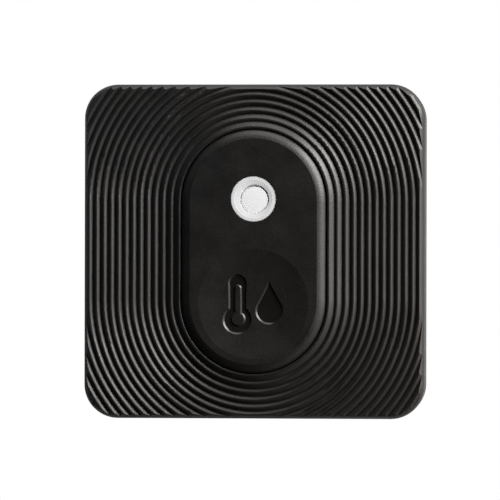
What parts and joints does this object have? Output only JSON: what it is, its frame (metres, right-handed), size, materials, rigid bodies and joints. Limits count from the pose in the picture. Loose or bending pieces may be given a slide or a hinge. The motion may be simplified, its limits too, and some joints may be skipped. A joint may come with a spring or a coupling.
{
  "type": "temperature humidity sensor",
  "caption": "Small wireless temperature and humidity sensor: ridged square case, raised oval press key, white sensing window and twist-off battery door.",
  "frame": {"origin": "centre of the flat back face, which lies on the table or wall", "axes": "+Z out of the ridged front, +Y towards the end with the white window, +X to the right seen from the front"},
  "size_m": [0.0362, 0.0356, 0.0091],
  "materials": {
    "case_black": "fine-grained satin",
    "key_black": "fine-grained satin",
    "window_white": "translucent satin",
    "membrane_white": "fine breathing felt",
    "seal_rubber": "matte",
    "boot_rubber": "matte",
    "board_green": "solder mask",
    "chip_black": "moulded epoxy",
    "ceramic_tan": "fired",
    "ceramic_black": "fired",
    "led_white": "clear over phosphor",
    "copper_gold": "gold plated",
    "steel_bright": "nickel plated",
    "steel_screw": "black zinc",
    "cell_steel": "rolled",
    "gasket_nylon": "natural nylon",
    "cathode_black": "pressed powder",
    "lithium_grey": "dull"
  },
  "bodies": {
    "case": {"front_cover": "case_black", "rear_housing": "case_black", "sensor_boot": "boot_rubber", "humidity_sensor_chip": "chip_black", "status_led": "led_white", "switch_base": "chip_black", "switch_frame": "steel_bright", "switch_dome": "steel_bright", "circuit_board": "board_green", "board_screws": "steel_screw", "radio_chip": "chip_black", "crystals": "steel_bright", "inductor": "ceramic_black", "capacitors": "ceramic_tan", "resistors": "ceramic_black", "antenna": "copper_gold", "test_pads": "copper_gold", "positive_contact": "steel_bright", "negative_contact": "steel_bright", "cell_can": "cell_steel", "cell_cap": "cell_steel", "cell_gasket": "gasket_nylon", "cell_lithium": "lithium_grey", "cell_cathode": "cathode_black"},
    "key": {"button_key": "key_black", "window_ring": "window_white", "vent_membrane": "membrane_white"},
    "plunger": {"switch_plunger": "chip_black"},
    "door": {"battery_door": "case_black", "door_seal": "seal_rubber"}
  },
  "joints": [
    {"name": "button_press", "type": "hinge", "parent": "case", "child": "key", "pos_m": [0, 0.0115, 0.00675], "axis": [1, 0, 0], "range_deg": [0, 0.84], "stiffness_Nm_per_rad": 0.4},
    {"name": "switch_press", "type": "slide", "parent": "case", "child": "plunger", "axis": [0, 0, -1], "range_m": [0, 0.00025], "deforming": ["switch_dome"]},
    {"name": "battery_door_twist", "type": "hinge", "parent": "case", "child": "door", "pos_m": [0, 0, 0], "axis": [0, 0, -1], "range_deg": [0, 30]}
  ],
  "couplings": [
    {"joint": "switch_press", "follows": "button_press", "m_per_rad": 0.01705}
  ]
}
